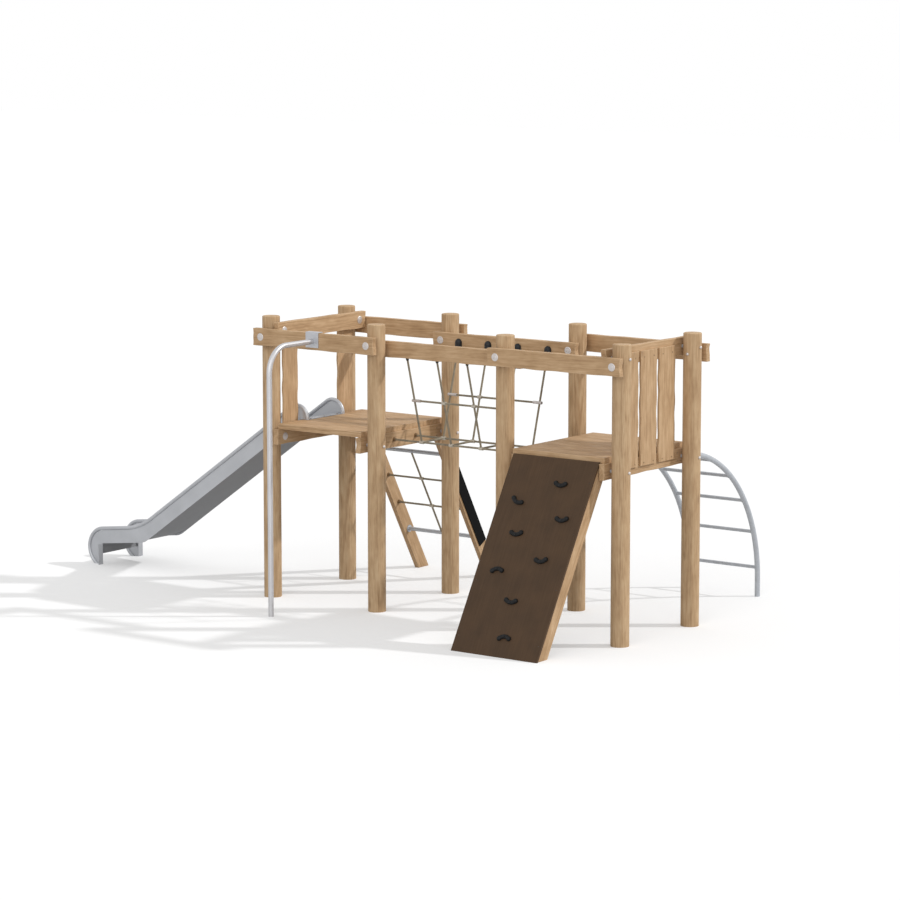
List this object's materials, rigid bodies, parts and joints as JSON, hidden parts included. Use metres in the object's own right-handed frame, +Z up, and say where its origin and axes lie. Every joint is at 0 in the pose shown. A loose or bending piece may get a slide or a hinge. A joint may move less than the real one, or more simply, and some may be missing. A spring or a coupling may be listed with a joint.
{
  "type": "climbing frame",
  "caption": "Timber climbing frame: two raised decks on round posts joined by a rope bridge, with a steel slide, a pole, a climbing wall, a rope net and an arched ladder.",
  "frame": {"origin": "centre of the foot of tower A's front left post, on the ground", "axes": "+X along the front row of posts from tower A to tower B, +Y from the front row to the back row, +Z up"},
  "size_m": [5.5953, 3.169, 2.24],
  "materials": {
    "timber": "oiled, natural edges",
    "inner_timber": "sawn",
    "bright_steel": "satin",
    "slide_steel": "satin",
    "galvanised_steel": "galvanised",
    "panel": "film faced",
    "black_plastic": "satin",
    "black_rubber": "matt",
    "rope": "laid strands",
    "fixings": "satin"
  },
  "bodies": {
    "root": {"post_a_front_left": "timber", "post_a_front_right": "timber", "post_a_back_left": "timber", "post_a_back_right": "timber", "post_b_front_left": "timber", "post_b_front_right": "timber", "post_b_back_left": "timber", "post_b_back_right": "timber", "rail_a_front": "timber", "rail_a_back": "timber", "rail_a_left": "timber", "rail_b_front": "timber", "rail_b_back": "timber", "rail_b_right": "timber", "bridge_beam_front": "timber", "bridge_beam_back": "timber", "bearer_a_left": "timber", "bearer_a_right": "timber", "bearer_b_left": "timber", "bearer_b_right": "timber", "header_a_back": "inner_timber", "header_b_front": "inner_timber", "header_b_back": "inner_timber", "deck_a": "timber", "deck_b": "timber", "slide_boards": "timber", "wall_boards": "timber", "fire_pole": "bright_steel", "pole_bracket": "bright_steel", "slide_bed": "slide_steel", "slide_cheek_near": "slide_steel", "slide_cheek_far": "slide_steel", "slide_rim_near": "slide_steel", "slide_rim_far": "slide_steel", "climbing_panel": "panel", "wall_stringer_left": "timber", "wall_stringer_right": "timber", "wall_battens": "inner_timber", "climbing_holds": "black_plastic", "hold_bolts": "fixings", "net_stringer_left": "timber", "net_stringer_right": "timber", "net_tubes": "galvanised_steel", "net_ropes": "rope", "net_covers": "black_rubber", "arch_rail_left": "galvanised_steel", "arch_rail_right": "galvanised_steel", "arch_rungs": "galvanised_steel", "bridge_hangers": "rope", "bridge_hand_ropes": "rope", "bridge_floor_ropes": "rope", "bridge_cross_ropes": "rope", "rope_sockets": "black_plastic", "rope_sleeves": "fixings", "tee_ferrules": "fixings", "rope_anchors": "fixings", "frame_bolts": "fixings", "frame_nuts": "fixings", "frame_spacers": "fixings", "wood_screws": "fixings"}
  },
  "joints": []
}
